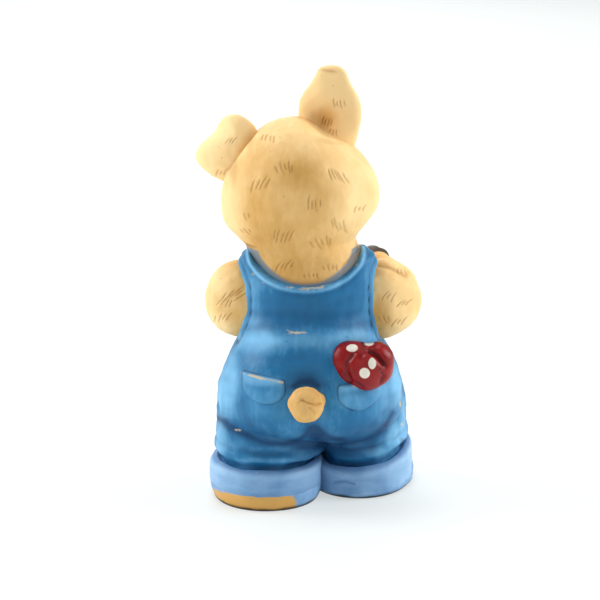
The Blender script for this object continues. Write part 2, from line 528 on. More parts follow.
def path_surface(middles, wides, thicks, across, around, along, square=True):
    """Ovals carried along a smooth line. The width lies along the direction across, made square to
    the line if asked, and the thickness along the line's own cross product with it."""
    across = np.broadcast_to(across, np.shape(middles))
    rows = smooth_rows(np.column_stack([middles, wides, thicks, across]), along)
    middle, wide, thick, side = rows[:, :3], np.abs(rows[:, 3]), np.abs(rows[:, 4]), rows[:, 5:]
    ahead = np.gradient(middle, axis=0)
    ahead /= np.linalg.norm(ahead, axis=1)[:, None]
    if square:
        side = side - ahead * (ahead * side).sum(1)[:, None]
    side = side / np.linalg.norm(side, axis=1)[:, None]
    out = np.cross(ahead, side)
    out /= np.linalg.norm(out, axis=1)[:, None]
    angle = turns(around)[..., None]
    return middle + side * wide[:, None] * np.cos(angle) + out * thick[:, None] * np.sin(angle)


def star_surface(field, middle, axis, reach, around, along):
    """A surface seen from its middle: along each direction, the distance at which the field turns
    positive, found by halving. The poles lie on the axis."""
    pole = np.asarray(axis, float) / np.linalg.norm(axis)
    first = np.cross(pole, (0, 0, 1) if abs(pole[2]) < 0.9 else (1, 0, 0))
    first /= np.linalg.norm(first)
    second = np.cross(pole, first)
    angle = turns(around)[..., None]
    fall = np.linspace(math.pi, 0, along)[None, :, None]
    ray = np.sin(fall) * (np.cos(angle) * first + np.sin(angle) * second) + np.cos(fall) * pole
    near, far = np.zeros(ray.shape[:2]), np.full(ray.shape[:2], float(reach))
    for _ in range(STAR_HALVINGS):
        half = (near + far) / 2
        inside = field(middle + ray * half[..., None]) < 0
        near, far = np.where(inside, half, near), np.where(inside, far, half)
    return middle + ray * near[..., None]


def egg(points, middle, radii):
    """About how far points lie outside an ellipsoid."""
    radii = np.asarray(radii, float)
    return (np.linalg.norm((points - middle) / radii, axis=-1) - 1) * radii.min()


def limb(points, start, end, start_radius, end_radius):
    """How far points lie outside a round limb whose radius runs evenly from start to end."""
    start, end = np.asarray(start, float), np.asarray(end, float)
    line = end - start
    part = np.clip((points - start) @ line / (line @ line), 0, 1)
    away = np.linalg.norm(points - start - part[..., None] * line, axis=-1)
    return away - start_radius - (end_radius - start_radius) * part


def melt(first, second, blend):
    """Two distances joined as wet clay joins: the smaller of them, filled in near the seam."""
    return -soft_max(-first, -second, blend)


def outward(points):
    """Unit normals of a grid: the cross product of its two slopes. A pole takes its ring's mean."""
    around = np.roll(points, -1, 0) - np.roll(points, 1, 0)
    normal = np.cross(around, np.gradient(points, axis=1))
    normal[:, 0] = normal[:, 1].mean(0)
    normal[:, -1] = normal[:, -2].mean(0)
    return normal / (np.linalg.norm(normal, axis=-1)[..., None] + 1e-12)


def wobble(points, spacing, seed):
    """Hand-made unevenness from -1 to 1: the mean of nine sine waves in fixed directions, about a
    spacing apart."""
    random = np.random.RandomState(seed)
    total = 0
    for _ in range(9):
        wave = random.normal(size=3)
        wave *= random.uniform(0.6, 1.5) * 2 * math.pi / spacing / np.linalg.norm(wave)
        total = total + np.sin(points @ wave + random.uniform(0, 2 * math.pi))
    return total / 4.5


def uneven(points, *waves):
    """The sum of wobbles: each has a height, a spacing and a seed."""
    return sum(height * wobble(points, spacing, seed) for height, spacing, seed in waves)


def bells(table, *values):
    """The sum of bells: each has a height, then a middle and a spread for each value."""
    total = 0
    for height, *rest in table:
        for value, middle, spread in zip(values, rest[::2], rest[1::2]):
            height = height * hump(value, middle, spread)
        total = total + height
    return total


def soften(values, times):
    """Each value with its neighbours' mean, so many times, round the grid and along it."""
    for _ in range(times):
        values = (np.roll(values, 1, 0) + 2 * values + np.roll(values, -1, 0)) / 4
        inner = (values[:, :-2] + 2 * values[:, 1:-1] + values[:, 2:]) / 4
        values = np.concatenate([values[:, :1], inner, values[:, -1:]], 1)
    return values


def blots(across, down, table):
    """The sum of soft ovals: e to the minus fourth power of the distance in half sizes."""
    total = np.zeros(np.shape(across))
    for x, y, wide, tall, strength in table:
        far = ((across - x) / wide) ** 2 + ((down - y) / tall) ** 2
        total += strength * np.exp(-far * far * 0.7)
    return total


def from_line(across, down, corners):
    """The distance to a chain of straight pieces."""
    best = np.full(np.shape(across), 1e9)
    for (x0, y0), (x1, y1) in zip(corners, corners[1:]):
        part = ((across - x0) * (x1 - x0) + (down - y0) * (y1 - y0)) / math.hypot(x1 - x0, y1 - y0) ** 2
        part = np.clip(part, 0, 1)
        best = np.minimum(best, np.hypot(across - x0 - part * (x1 - x0), down - y0 - part * (y1 - y0)))
    return best


def strokes(across, down, table):
    """Soft brush strokes: over all of them, 1 less the product of what each leaves bare."""
    bare = np.ones(np.shape(across))
    for course, half, strength in table:
        bare *= 1 - strength * hump(from_line(across, down, course), 0, half)
    return 1 - bare


def hatching(across, down, table, pixel=PHOTO_PIXEL):
    """Groups of short tool marks, 0 to 1: each stroke is a line that bows a little, with a round
    bottom about two hatch widths across."""
    total = np.zeros(np.shape(across))
    for x, y, count, tall, spacing, lean in table:
        near = (np.abs(across - x) < count * spacing + tall) & (np.abs(down - y) < 2 * tall)
        if not near.any():
            continue
        u, v = across[near] - x, down[near] - y
        marks = np.zeros(u.shape)
        for step in range(count):
            slant = math.tan(math.radians(lean + 11 * math.sin(5.7 * step + y)))
            start = (step - (count - 1) / 2) * spacing * (1 + 0.12 * math.sin(2.3 * step + x))
            shift = tall * 0.16 * math.sin(7.3 * step + x)
            reach = tall / 2 * (1 + 0.32 * math.sin(3.1 * step + y))
            bow = 0.6 * (v / tall) ** 2
            off = (u - start + slant * (v - shift) - bow * spacing) * math.cos(math.atan(slant)) * pixel
            ends = smooth_step(reach * 1.15, reach * 0.5, np.abs(v - shift))
            marks = np.maximum(marks, hump(off, 0, pig.stroke_width) * ends)
        total[near] = np.maximum(total[near], marks)
    return total


class Skin:
    """A piece's grid with what its marks are worked out from: its normals, its coordinates, where
    it falls in the photograph, and 1 where it faces the photograph's camera, 0 where it turns away."""

    def __init__(self, points, normal=None):
        self.points = points
        self.normal = outward(points) if normal is None else normal
        self.x, self.y, self.z = np.moveaxis(points, -1, 0)
        self.across, self.down = photo_pixels(points)
        self.seen = smooth_step(0.02, 0.2, self.normal @ PHOTO_BACK)

    def raised(self, relief):
        """The points, moved along their normals by the relief."""
        return self.points + self.normal * relief[..., None]

    def painted(self, how, table):
        """Hatches, strokes or blots of a table, where they are seen."""
        return self.seen * how(self.across, self.down, table)

    def line(self, course, width):
        """A bell of the distance from a course in the photograph, in millimetres."""
        return self.seen * hump(from_line(self.across, self.down, course) * PHOTO_PIXEL, 0, width)

    def creases(self, table, strength):
        """How deep all the creases of a table go, and the wash in the strongest."""
        deep, wash = 0, 0
        for course, width, depth in table:
            groove = self.line(course, width)
            deep, wash = deep + depth * groove, np.maximum(wash, groove * strength(depth))
        return deep, wash


def grid_faces(points):
    """A grid's vertices and triangles, closed around. Two corners of a square that coincide, as at a
    pole, are one vertex."""
    around, along = points.shape[:2]
    index = np.arange(around * along).reshape(around, along)
    for row in (0, -1):
        if np.ptp(points[:, row], axis=0).max() < 1e-6:
            index[:, row] = index[0, row]
    beside = np.roll(index, -1, 0)
    a, b, c, d = (part.ravel() for part in (index[:, :-1], beside[:, :-1], beside[:, 1:], index[:, 1:]))
    faces = np.concatenate([np.stack([a, b, c], 1), np.stack([a, c, d], 1)])
    faces = faces[(faces[:, 0] != faces[:, 1]) & (faces[:, 1] != faces[:, 2]) & (faces[:, 2] != faces[:, 0])]
    used, faces = np.unique(faces, return_inverse=True)
    return used, faces.reshape(-1, 3)


class Clay:
    """Grids gathered into one mesh, each with its marks: wash, worn, ink, second and tone."""

    MARKS = ("wash", "worn", "ink", "second", "tone")

    def __init__(self, name):
        self.name, self.points, self.faces, self.count = name, [], [], 0
        self.marks = {mark: [] for mark in self.MARKS}

    def add(self, points, **marks):
        """One grid in millimetres, with its marks as grids of the same shape. Faces turn outwards."""
        used, faces = grid_faces(points)
        slope = np.cross(np.gradient(points, axis=0), np.gradient(points, axis=1))
        if ((points - points.mean((0, 1))) * slope).sum() < 0:
            faces = faces[:, ::-1]
        self.points.append(points.reshape(-1, 3)[used])
        self.faces.append(faces + self.count)
        self.count += len(used)
        for mark in self.MARKS:
            values = np.broadcast_to(marks.get(mark, 0.0), points.shape[:2])
            self.marks[mark].append(values.reshape(-1)[used])
        return self

    def piece(self, paintwork, slot, node):
        """The finished object, riding on the root and standing for its node."""
        mesh = bpy.data.meshes.new(self.name)
        points, faces = np.concatenate(self.points), np.concatenate(self.faces)
        mesh.vertices.add(len(points))
        mesh.vertices.foreach_set("co", to_row(points).astype(np.float32).ravel())
        mesh.loops.add(faces.size)
        mesh.loops.foreach_set("vertex_index", faces.astype(np.int32).ravel())
        mesh.polygons.add(len(faces))
        mesh.polygons.foreach_set("loop_start", np.arange(0, faces.size, 3, dtype=np.int32))
        mesh.polygons.foreach_set("use_smooth", np.ones(len(faces), bool))
        for mark, values in self.marks.items():
            layer = mesh.attributes.new(mark, "FLOAT", "POINT")
            layer.data.foreach_set("value", np.concatenate(values).astype(np.float32))
        mesh.materials.append(brushed(paintwork))
        mesh.update(calc_edges=True)
        piece = bpy.data.objects.new(self.name, mesh)
        bpy.context.scene.collection.objects.link(piece)
        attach(piece, "root")
        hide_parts(node)


class Value:
    """A shader socket that takes sums: an expression on values adds its Math nodes."""

    def __init__(self, tree, socket):
        self.tree, self.socket = tree, socket

    def math(self, operation, *values, clamp=False):
        """A Math node on two values, in the order given."""
        return self.tree.node("ShaderNodeMath", {"operation": operation, "use_clamp": clamp}, values)

    def __add__(self, other):
        return self.math("ADD", self, other)

    def __mul__(self, other):
        return self.math("MULTIPLY", self, other)

    def __sub__(self, other):
        return self.math("SUBTRACT", self, other)

    def __rsub__(self, other):
        return self.math("SUBTRACT", other, self)

    def clamped(self):
        """The value held between 0 and 1."""
        return self.math("ADD", self, 0.0, clamp=True)

    __radd__ = __add__
    __rmul__ = __mul__


class Tree:
    """The nodes of a material or a world, added one at a time by one method."""

    def __init__(self, owner):
        owner.use_nodes = True
        self.nodes, self.links = owner.node_tree.nodes, owner.node_tree.links

    def node(self, kind, settings, inputs=(), out=0):
        """A node of a kind: its settings, its inputs in order or by name, and one output."""
        node = self.nodes.new(kind)
        for setting, value in settings.items():
            setattr(node, setting, value)
        return self.feed(node, inputs, out)

    def feed(self, node, inputs, out=0):
        """Links from values, and constants, into a node's inputs. Gives one of its outputs."""
        for key, value in inputs.items() if isinstance(inputs, dict) else enumerate(inputs):
            if isinstance(value, Value):
                self.links.new(value.socket, node.inputs[key])
            else:
                node.inputs[key].default_value = value
        return Value(self, node.outputs[out]) if node.outputs else None

    def mix(self, share, first, second):
        """A colour between two others."""
        return self.node("ShaderNodeMix", {"data_type": "RGBA"}, {0: share, 6: first, 7: second}, out=2)

    def noise(self, scale, detail, stretch=(1, 1, 1)):
        """Noise from 0 to 1 with so many cells in a metre, drawn out along an axis."""
        place = self.node("ShaderNodeTexCoord", {}, out="Object")
        place = self.node("ShaderNodeMapping", {}, {"Vector": place, "Scale": stretch})
        settings = {"Vector": place, "Scale": scale, "Detail": detail, "Roughness": 0.55}
        return self.node("ShaderNodeTexNoise", {}, settings)

    def mark(self, name):
        """One of the marks kept on the mesh."""
        return self.node("ShaderNodeAttribute", {"attribute_name": name}, out="Fac")

    def step(self, value, low, high):
        """0 below low, 1 above high, straight between them."""
        return self.node("ShaderNodeMapRange", {"clamp": True}, (value, low, high, 0.0, 1.0))


FINISHES = {}


def brushed(name):
    """Paint brushed over clay: the base drifts to its light tone in cloudy patches and on places
    marked by tone, a wash darkens hollows, the clay shows where it is worn, and ink and a second
    paint lie on top. Brush hairs and grit stand up as a fine bump."""
    if name in FINISHES:
        return FINISHES[name]
    paints, usual = PAINTWORK[name]
    usual = {"rough": 0.5, "coat": 0.0, "streak": (1, 1, 0.3), "drift": 0.35, **usual}
    base, light, wash, second, ink = (colour(key) for key in paints)
    material = bpy.data.materials.new(name)
    tree = Tree(material)
    cloud = tree.noise(CLOUD_CELLS, 3)
    hair = tree.noise(HAIR_CELLS, 4, usual["streak"])
    grit = tree.noise(GRIT_CELLS, 2)
    tone, settled = tree.mark("tone"), tree.mark("wash")
    patches = tree.step(cloud, 0.35, 0.75) * usual["drift"] + tree.step(hair, 0.45, 0.8) * 0.22
    pale = (patches + tone).clamped()
    dull = ((0.0 - tone) + tree.step(cloud, 0.5, 0.25) * 0.12 + tree.step(hair, 0.5, 0.25) * 0.12).clamped()
    speck = tree.step(tree.noise(SPECK_CELLS, 1), 0.74, 0.78)
    rubbed = tree.step(tree.mark("worn") + (grit - 0.5) * 0.6 + (hair - 0.5) * 0.5, 0.35, 0.6)
    body = tree.mix(pale, base, light)
    for share, over in (
        (tree.mark("second").clamped(), second), (dull * 0.7, wash),
        ((settled + (hair - 0.5) * 0.3 * settled).clamped(), wash), (speck * 0.35, wash),
        (rubbed * 0.85, colour("worn")), (tree.mark("ink").clamped(), ink),
    ):
        body = tree.mix(share, body, over)
    relief = hair * 0.6 + grit * 0.25 + cloud * 0.4
    bump = tree.node(
        "ShaderNodeBump", {}, {"Strength": 0.35, "Distance": 0.0001, "Height": relief}, out="Normal")
    rough = (cloud - 0.5) * 0.2 + (hair - 0.5) * 0.15 + rubbed * 0.25 + settled * 0.12 + usual["rough"]
    tree.feed(tree.nodes["Principled BSDF"], {
        "Base Color": body, "Roughness": rough.clamped(), "Normal": bump, "Coat Weight": usual["coat"],
        "Coat Roughness": 0.35, "Specular IOR Level": 0.22})
    FINISHES[name] = material
    return material


def collar_paint(points, neckline):
    """The paint of the collar's inside runs onto the neck, further at the sides than in the middle."""
    reach = -0.3 - 1.25 * smooth_step(2, 9, np.abs(points[..., 0] - pig.neckline_x))
    return 0.85 * smooth_step(reach - 0.3, reach + 0.3, neckline) * smooth_step(0, 2, points[..., 1])


def head_frame():
    """The head's turn and tilt as a matrix, and where its neck stands."""
    sizes = bpy.context.scene.pig_sizes
    turned = Matrix.Rotation(sizes.head_roll, 3, "Y") @ Matrix.Rotation(sizes.head_yaw, 3, "Z")
    foot = (pig.neck_x, pig.neck_y, pig.trunk_height - pig.cloth)
    return np.array(turned), np.array(foot)


def from_head(points):
    """Points of the head's own frame in the modeller's frame."""
    turned, foot = head_frame()
    return points @ turned.T + foot


def head_normals(points):
    """Unit normals of a grid in the head's own frame, turned into the modeller's frame."""
    return outward(points) @ head_frame()[0].T


def head_rows():
    """The head's rings: its shares times its sizes."""
    scale = np.array([pig.head_height, pig.cheek_half_width, pig.head_back, pig.head_front,
                      pig.cheek_half_width])
    return np.array(HEAD_SHARES) * scale


def trunk_rows(grow=0.0):
    """The overalls' rings, let out by grow, closed flat below and rounded over the shoulders."""
    scale = np.array([pig.trunk_height, pig.seat_half_width, pig.seat_back_depth, pig.belly_depth])
    rows = np.array(TRUNK_SHARES) * scale
    rows[:, 0] -= 0.9 * smooth_step(0.93, 1.0, rows[:, 0] / pig.trunk_height)
    rows[:, 1:] += grow
    top, low = rows[-1].copy(), rows[0].copy()
    cap = [(top[0] + 0.12 + grow, *(top[1:] * share)) for share in (0.8, 0.5, 0.25, 0.0)]
    rows = np.vstack([(low[0], 0, 0, 0), rows, cap])
    return np.column_stack([rows, np.zeros(len(rows))])


def trunk_points(x, height, side):
    """Points of the trunk's surface at given x and heights, behind (side 1) or in front (-1)."""
    rows = trunk_rows()[1:-4]
    wide = np.interp(height, rows[:, 0], rows[:, 1])
    deep = np.interp(height, rows[:, 0], rows[:, 2 if side > 0 else 3])
    lean = np.clip(np.abs(x) / wide, 0, 1) ** (1 / OVAL_POWER)
    sine = np.sqrt(np.clip(1 - lean * lean, 0, 1)) ** OVAL_POWER
    return np.stack([x + 0 * height, side * deep * sine, height + 0 * x], -1)


def tuck_in(points, gap):
    """Points drawn in towards the upright axis until they lie a gap under the overalls, as if these
    ran straight up from the shoulders. Above the straps the hold lets go, sooner under the chin."""
    rows = trunk_rows(-gap)[1:-6]
    x, y, z = np.moveaxis(points, -1, 0)
    wide = np.interp(z, rows[:, 0], rows[:, 1])
    deep = np.where(y > 0, np.interp(z, rows[:, 0], rows[:, 2]), np.interp(z, rows[:, 0], rows[:, 3]))
    share = np.hypot(x / wide, y / deep) + 1e-9
    top = pig.trunk_height
    most = (1 + 0.16 * smooth_step(top - 1.5, top + 2.5, z) + 0.35 * smooth_step(top, top + 5, z)
            + 3 * smooth_step(top + 3, top + 9, z))
    most = (most + 1.5 * smooth_step(top - 0.5, top + 2, z)
            * smooth_step(0, -4, y) * smooth_step(9, 6, np.abs(x)))
    drawn = -soft_max(-share, -most, 0.03) / share
    return points * np.stack([drawn, drawn, np.ones_like(z)], -1)


def trunk_normals(x, height, side):
    """Unit normals of the trunk: the cross product of its slopes up and across."""
    step = 0.05
    across = trunk_points(x + step, height, side) - trunk_points(x - step, height, side)
    upward = trunk_points(x, height + step, side) - trunk_points(x, height - step, side)
    normal = side * np.cross(upward, across)
    return normal / np.linalg.norm(normal, axis=-1)[..., None]


def patch_grid(distance, middle, reach, around, along):
    """A closed patch's own millimetres, across and along: from the middle of its upper side out to
    where the distance falls to the margin, found by halving, and back under it to the middle.
    Also whether each place is underneath."""
    angle = turns(around)
    near, far = np.zeros_like(angle), np.full_like(angle, reach)
    for _ in range(PATCH_HALVINGS):
        half = (near + far) / 2
        inside = distance(middle[0] + half * np.cos(angle), middle[1] + half * np.sin(angle)) > -PATCH_MARGIN
        near, far = np.where(inside, half, near), np.where(inside, far, half)
    run = np.linspace(0, 2, along)[None, :]
    out = near * np.where(run <= 1, run, 2 - run)
    return (middle[0] + out * np.cos(angle), middle[1] + out * np.sin(angle),
            np.broadcast_to(run > 1, out.shape))


def hem_distances(points):
    """How far points lie inside the cloth, from the neckline, the bib's gap and the armholes."""
    x, y, z = np.moveaxis(points, -1, 0)
    half, drop, top = pig.neckline_half_width, pig.neckline_drop, pig.trunk_height
    below = np.minimum(z - top, 0)
    beside = x - pig.neckline_x
    ring = np.hypot(beside / half, below / drop) + 1e-9
    scoop = (ring - 1) * ring / (np.hypot(beside / half ** 2, below / drop ** 2) + 1e-9)
    rise = np.clip((z - pig.bib_top) / (top - pig.bib_top), 0, 1)
    gap_half = pig.bib_gap + (half - pig.bib_gap) * rise
    gap = np.maximum((np.abs(x) - gap_half) * 0.85, pig.bib_top - z)
    neckline = np.where(y > 0, scoop, gap)
    corner = pig.armhole_corner
    height = pig.armhole_top - pig.armhole_bottom
    front = -pig.armhole_front + 3.6 * (z - pig.armhole_bottom) / height
    dy = np.maximum(y - pig.armhole_back, front - y) + corner
    dz = np.maximum(pig.armhole_bottom - z, z - pig.armhole_top) + corner
    armhole = np.hypot(np.maximum(dy, 0), np.maximum(dz, 0)) + np.minimum(np.maximum(dy, dz), 0) - corner
    return neckline, armhole


def seat_depth(x, z):
    """How far back the overalls' surface lies at a place."""
    return trunk_points(np.array([x]), np.array([z]), 1)[0, 1]


def pocket_edge(inside, thickness, rounding, dip):
    """How far a patch stands out: up to its thickness over a rounded edge, with a dip outside it."""
    outside = 1 - smooth_step(-PATCH_MARGIN, 0, inside)
    return thickness * smooth_step(-0.15, rounding, inside) - dip * outside


def bead(middle, radii, kind):
    """An egg-shaped bead whose poles point forwards and back."""
    return star_surface(lambda p: egg(p, middle, radii), middle, (0, -1, 0), 3, *GRIDS[kind])


def seat_relief(points):
    """How far the overalls bulge and fold, in millimetres: the ridge under the back panel, the two
    sides of the seat, the groove between them, the hems and the shallow folds of the cloth."""
    x, y, z = np.moveaxis(points, -1, 0)
    behind, front = smooth_step(2, 7, y), smooth_step(-2, -8, y)
    neckline, armhole = hem_distances(points)
    ridge = 36.4 + 0.05 * x - 0.012 * x * x
    back = (0.55 * hump(z, ridge, 1.9) - 0.45 * hump(z, ridge + 3.6, 2.6)) * hump(x, 0, 15)
    bulge = behind * (back + bells(SEAT_BELLS, x, z)) + front * bells(BELLY_BELLS, x, z)
    seams = 0.16 * hump(x, 0, 0.35) * front * smooth_step(30, 27, z)
    seams = seams + 0.14 * hump(y, -1.5, 0.35) * smooth_step(32, 30, z)
    hems = bells(NECKLINE_HEM, neckline) + bells(ARMHOLE_HEM, armhole)
    return bulge - seams + hems + uneven(points, (0.30, 13, 3), (0.09, 3.8, 5))


def stitches(run, pitch, share):
    """Dashes along a run: 1 over a share of each pitch."""
    return smooth_step(0.15, -0.15, np.abs((run / pitch) % 1 - 0.5) - share / 2)


def cloth_marks(cloth, relief):
    """Where paint lies on the overalls: wash in hollows, wear on ridges, stitches along the hems,
    and the blots seen from behind."""
    x, y, z = cloth.x, cloth.y, cloth.z
    # What is painted from behind fades out round the sides.
    cloth.seen = cloth.seen * smooth_step(-2, 5, y)
    smooth = soften(relief, 24)
    hollow, ridge = np.clip(smooth - relief, 0, 1), np.clip(relief - smooth, 0, 1)
    neckline, armhole = hem_distances(cloth.points)
    wash = 2.0 * hollow + cloth.painted(strokes, SEAT_STROKES)
    wash += 0.6 * smooth_step(17.5, 13.2, z) * (1 - cloth.seen)
    worn = 1.1 * np.clip(ridge - 0.12, 0, 1) + cloth.painted(blots, WORN_MARKS)
    rubbed = 0.14 + 0.42 * hump(x, -0.5, 4) + 0.28 * wobble(cloth.points, 3, 8)
    worn += hump(neckline, 0.35, 0.32) * (y > 0) * rubbed
    tone = (cloth.painted(blots, SEAT_TONE_BLOTS) + 0.7 * hump(neckline, 0.9, 0.5)
            + 0.5 * hump(armhole, 0.7, 0.5))
    dashes = stitches(z + 0.3 * y, 2.6, 0.45) * hump(armhole, 2.0, 0.26) * smooth_step(47, 45, z)
    ink = dashes * np.where(x < 0, 0.95, 0.55) * (armhole > 0)
    ink += 0.5 * stitches(z, 1.6, 0.55) * hump(np.abs(x), 0.8, 0.16) * (y < 0) * (z < 29)
    return {"wash": np.clip(wash, 0, 0.92), "worn": np.clip(worn, 0, 1), "tone": np.clip(tone, -1, 1),
            "ink": np.clip(ink, 0, 1)}


class PIG_OT_head(bpy.types.Operator):
    """Model the head with its muzzle, mouth and neck"""
    bl_idname = "pig.head"
    bl_label = "Head"

    def execute(self, context):
        local = level_surface(head_rows(), *GRIDS["head"])
        x, y, z = np.moveaxis(local.copy(), -1, 0)
        beside = x - pig.muzzle_x
        radius = np.hypot(beside / pig.muzzle_width, (z - pig.muzzle_height) / pig.muzzle_rise)
        reach, share = np.array(MUZZLE_SHARES).T
        muzzle = np.interp(radius, share[::-1], reach[::-1]) * pig.muzzle_reach
        # Outside its radius the muzzle lies far behind the face, so that the face wins.
        muzzle = np.where(radius < share[0], muzzle, -FAR_BEHIND)
        local[..., 1] = np.where(y < 0, -soft_max(-y, muzzle, 2.2), y)
        face = y < -4
        lips = hump(z, pig.muzzle_height - 5.1 + 0.11 * beside ** 2, 0.42)
        mouth = lips * smooth_step(5.2, 4.4, np.abs(beside)) * face
        socket = face * sum(
            hump(np.hypot(x - side * pig.eye_spacing / 2, z - pig.eye_height), 0, 2.2) for side in (-1, 1))
        cheek = hump(np.abs(x), 9.4, 3.4) * hump(z, 9.4, 3.2) * face
        crown_dent = hump(np.hypot(x + 6.2, y), 0, 4.6) * smooth_step(15, 20, z)
        skin = Skin(tuck_in(from_head(local), 0.75), head_normals(local))
        # The same marks go round the sides and over the crown, by the angle and the height.
        groups = [(angle * HEAD_GIRTH, height, *HEAD_HATCH, lean)
                  for angle, height, lean in HEAD_SIDE_HATCHES]
        around = hatching(np.arctan2(x, -y) * HEAD_GIRTH, -z, groups, 1.0) * (1 - skin.seen)
        marks = np.maximum(skin.painted(hatching, HEAD_HATCHES), around)
        relief = (uneven(local, (0.16, 9, 1), (0.05, 3, 2)) - 0.55 * mouth - 0.35 * socket + 0.25 * cheek
                  - 2.7 * crown_dent - pig.stroke_depth * marks)
        points = skin.raised(relief)
        neckline, _ = hem_distances(points)
        lining = collar_paint(points, neckline) * (points[..., 2] < pig.trunk_height)
        neck = smooth_step(-1.5, 0.2, neckline) * (points[..., 2] < pig.trunk_height + 1)
        wash = 0.55 * marks + 0.85 * mouth + 0.15 * socket + 0.6 * neck + skin.painted(blots, EAR_SHADES)
        tone = (0.75 * smooth_step(5.5, 13.5, np.abs(x)) + 0.5 * smooth_step(17, 25, z)
                + 0.15 * wobble(points, 11, 9))
        Clay("clay_head").add(points, wash=wash, second=0.8 * cheek, ink=lining, tone=tone).piece(
            "brushed_flesh", "flesh", "head")
        return {"FINISHED"}


class PIG_OT_snout(bpy.types.Operator):
    """Model the snout with its rounded rim and nostrils"""
    bl_idname = "pig.snout"
    bl_label = "Snout"

    def execute(self, context):
        # Rings round the axis that points out of the face.
        around, along = GRIDS["snout"]
        angle = turns(around)
        share, depth = smooth_rows(SNOUT_PROFILE, along).T
        depth = depth + 0 * angle
        x, z = pig.snout_width * share * np.cos(angle), pig.snout_rise * share * np.sin(angle)
        hole = (depth < 1) * sum(
            hump(np.hypot((x - side * 1.95) / 0.85, (z - 0.25) / 1.15), 0, 1) for side in (-1, 1))
        y = depth + 1.15 * hole - pig.muzzle_reach - pig.snout_thickness
        local = np.stack([x + pig.muzzle_x, y, z + pig.muzzle_height], -1)
        local += outward(local) * 0.07 * wobble(local, 3, 6)[..., None]
        wash = 0.85 * np.clip(hole, 0, 1) ** 0.7 + 0.5 * smooth_step(1.4, 2.6, depth)
        Clay("clay_snout").add(from_head(local), wash=wash, tone=0.35).piece(
            "brushed_snout", "snout", "snout")
        return {"FINISHED"}


class PIG_OT_eyes(bpy.types.Operator):
    """Model both eyes as glossy beads with a painted glint"""
    bl_idname = "pig.eyes"
    bl_label = "Eyes"

    def execute(self, context):
        height, radius = pig.eye_height, pig.eye_radius
        wide, deep = (np.interp(height, head_rows()[1:, 0], head_rows()[1:, column]) for column in (1, 3))
        for side, name in ((1, "left"), (-1, "right")):
            x = side * pig.eye_spacing / 2
            middle = np.array([x, 0.25 * radius - deep * math.sqrt(1 - (x / wide) ** 2), height])
            ball = bead(middle, (radius * 0.9, radius, radius * 1.05), "eye")
            glint = np.hypot(ball[..., 0] - x - 0.4, ball[..., 2] - height - 0.5)
            glint = smooth_step(0.42, 0.3, glint) * (ball[..., 1] < middle[1])
            Clay(name + "_clay_eye").add(from_head(ball), second=glint).piece(
                "glossy_eye", "eye_black", name + "_eye")
        return {"FINISHED"}


class PIG_OT_ears(bpy.types.Operator):
    """Model the standing ear and the folded ear"""
    bl_idname = "pig.ears"
    bl_label = "Ears"

    def execute(self, context):
        wide, thick = pig.ear_half_width, pig.ear_thickness / 2
        rows = np.array(RIGHT_EAR_SHARES)
        lean = math.radians(RIGHT_EAR_LEAN)
        upward = np.array([-math.sin(lean), 0, math.cos(lean)])
        middles = RIGHT_EAR_ROOT + rows[:, :1] * pig.right_ear_length * upward
        sideways, forward = np.array([1.0, 0, 0]), np.array([0, -1, 0])
        local = path_surface(middles, rows[:, 1] * wide, rows[:, 2] * thick, sideways, *GRIDS["ear"])
        self.finish_ear("right", local, RIGHT_EAR_HATCHES, 21)
        rows = np.array(LEFT_EAR_SHARES)
        lean = np.radians(rows[:, 5])
        fold = np.column_stack([np.sin(lean), 0 * lean, -np.cos(lean)])
        out = np.column_stack([np.cos(lean), 0 * lean, np.sin(lean)])
        middles = (LEFT_EAR_ROOT + out * rows[:, :1] * pig.left_ear_reach
                   + forward * rows[:, 1:2] * pig.left_ear_fold + fold * rows[:, 2:3] * pig.left_ear_drop)
        local = path_surface(
            middles, rows[:, 3] * wide, rows[:, 4] * thick, fold, *GRIDS["ear"], square=False)
        self.finish_ear("left", local, LEFT_EAR_HATCHES, 22)
        return {"FINISHED"}

    def finish_ear(self, side, local, table, seed):
        """The hollow in the ear's front, its tool marks and its paint."""
        angle = turns(local.shape[0])
        along = np.linspace(0, 1, local.shape[1])[None, :]
        hollow = (np.clip(-np.sin(angle), 0, 1) ** 2.2 * smooth_step(0.12, 0.35, along)
                  * smooth_step(0.97, 0.75, along))
        behind = np.clip(np.sin(angle), 0, 1)
        skin = Skin(from_head(local), head_normals(local))
        if side == "right":
            dent = behind * hump(along, 0.38, 0.12) * hump(np.cos(angle), 0.12, 0.48)
            fold = behind * hump(along, 0.86, 0.02) * smooth_step(-0.7, 0.0, np.cos(angle))
        else:
            dent = behind * hump(along, 0.08, 0.10) * 0.6
            fold = behind * hump(along, 0.62, 0.03) * 0.6
            # The flap is pressed in between its fold and its tip.
            skin.points[..., 0] -= 1.6 * hump(skin.down, 131, 11) * smooth_step(244, 212, skin.across)
        marks = skin.painted(hatching, table)
        relief = (uneven(local, (0.14, 7, seed), (0.05, 2.6, seed + 1)) - 2.0 * hollow - 0.9 * dent
                  - 0.3 * fold - pig.stroke_depth * marks)
        Clay(side + "_clay_ear").add(
            skin.raised(relief), wash=0.5 * marks + 0.34 * dent + 0.4 * fold + 0.18 * hollow,
            second=0.5 * hollow, tone=1.0 - 0.95 * dent - 0.4 * hump(along, 0.1, 0.12),
        ).piece("brushed_flesh", "flesh", side + "_ear")


